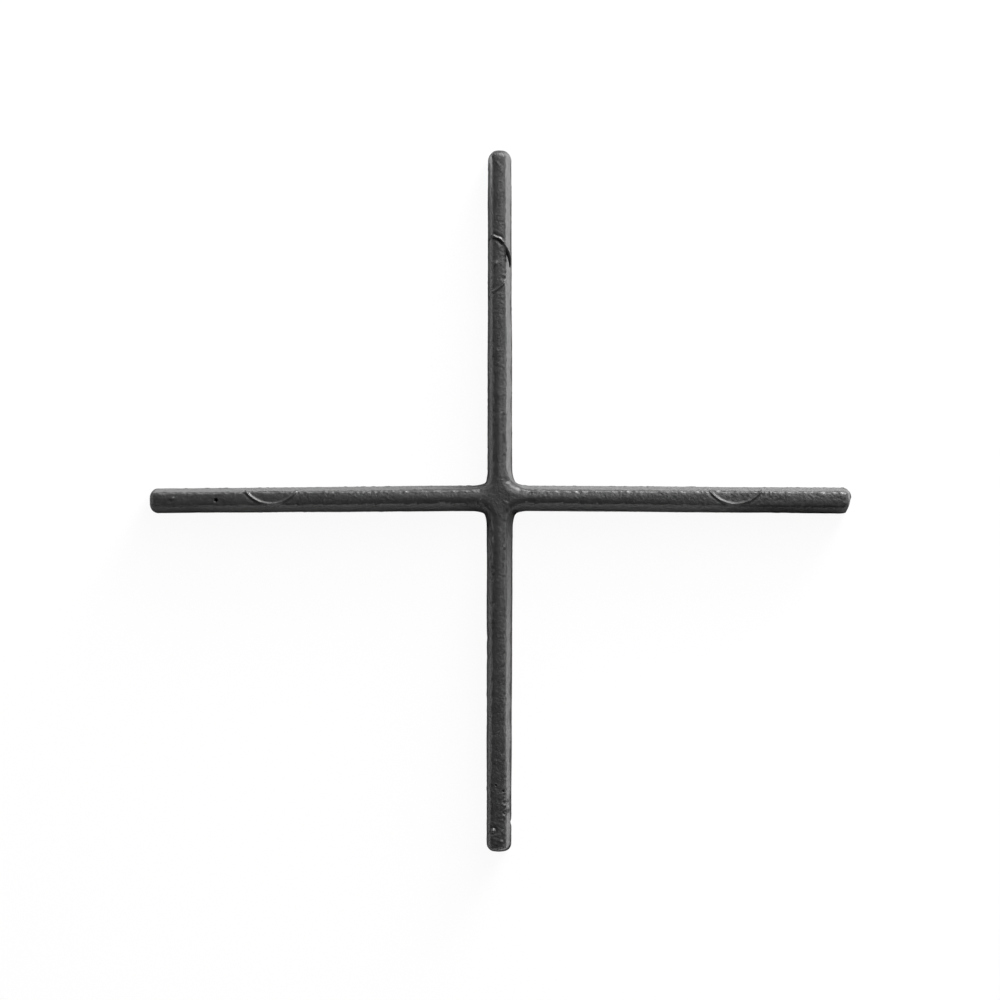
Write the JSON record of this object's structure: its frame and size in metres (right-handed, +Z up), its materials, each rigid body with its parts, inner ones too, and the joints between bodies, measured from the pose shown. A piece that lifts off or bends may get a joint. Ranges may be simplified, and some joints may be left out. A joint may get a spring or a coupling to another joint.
{
  "type": "tile spacer",
  "caption": "Cross-shaped rubber tile spacer with slim drafted arms, rounded shoulders and a small filleted hub, laid flat in the joints where tile corners meet.",
  "frame": {"origin": "middle of the hub, on the flat underside", "axes": "+X along the east arm, which has the trimmed gate, +Y along the north arm, +Z up from the underside to the rounded top"},
  "size_m": [0.045, 0.0449, 0.0032],
  "materials": {
    "rubber": "matte"
  },
  "bodies": {
    "root": {"cross_spacer": "rubber"}
  },
  "joints": []
}
